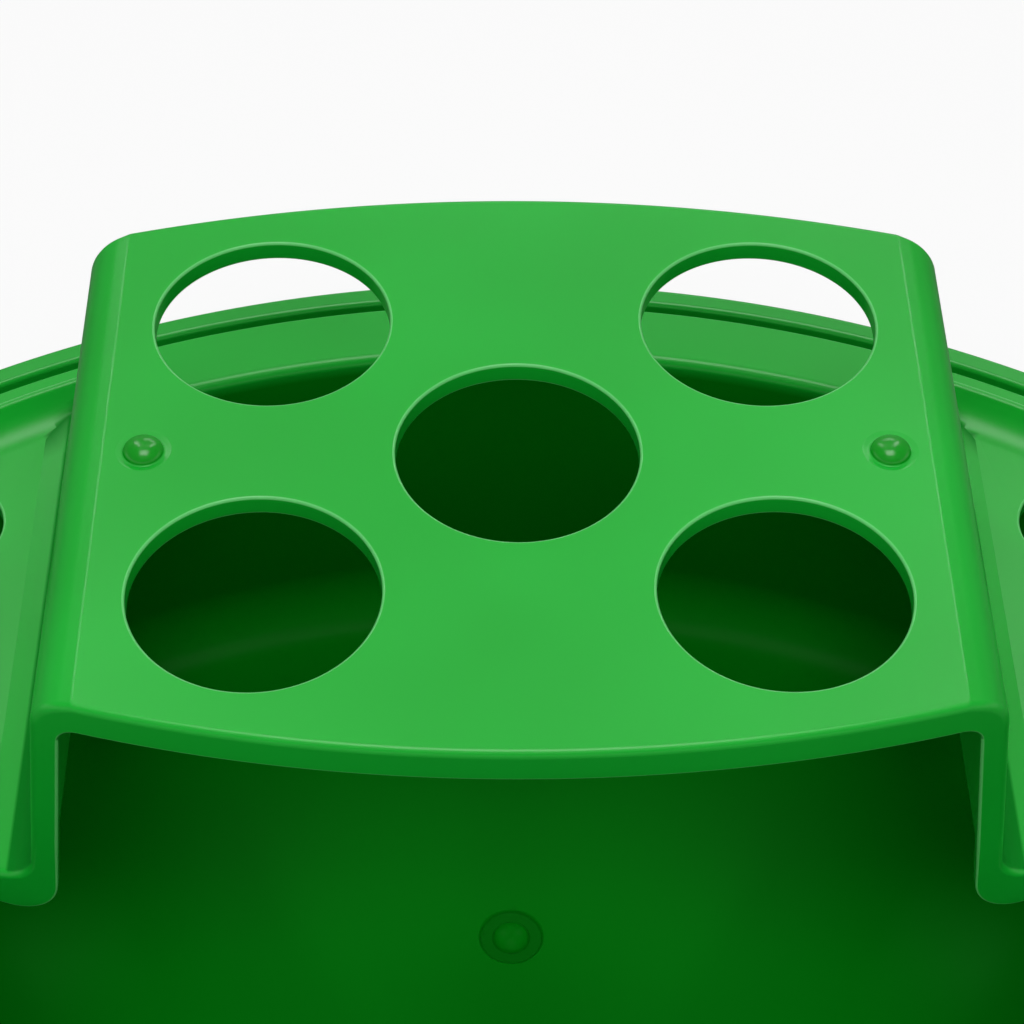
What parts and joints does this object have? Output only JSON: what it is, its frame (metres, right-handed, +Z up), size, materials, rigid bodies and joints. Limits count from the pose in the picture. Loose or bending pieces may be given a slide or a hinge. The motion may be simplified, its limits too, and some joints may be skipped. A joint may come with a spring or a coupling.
{
  "type": "hydroponic planter",
  "caption": "Oval tabletop hydroponic planter: outer pot, drop-in water basin and a lift-off bridge-shaped planting tray with round net-cup holes.",
  "frame": {"origin": "on the standing surface under the middle of the pot", "axes": "+X along the pot's length, +Y from the open watering side to the back, +Z up"},
  "size_m": [0.38, 0.268, 0.1601],
  "materials": {
    "pot_plastic": "semi-gloss injection-moulded green polypropylene",
    "basin_plastic": "semi-gloss injection-moulded green polypropylene",
    "tray_plastic": "glossy, slightly translucent injection-moulded green polypropylene"
  },
  "bodies": {
    "pot": {"outer_pot": "pot_plastic"},
    "basin": {"inner_basin": "basin_plastic"},
    "tray": {"planting_tray": "tray_plastic"}
  },
  "joints": [
    {"name": "basin_lift", "type": "slide", "parent": "pot", "child": "basin", "axis": [0, 0, 1], "range_m": [0, 0.1]},
    {"name": "tray_lift", "type": "slide", "parent": "basin", "child": "tray", "axis": [0, 0, 1], "range_m": [0, 0.1]}
  ]
}
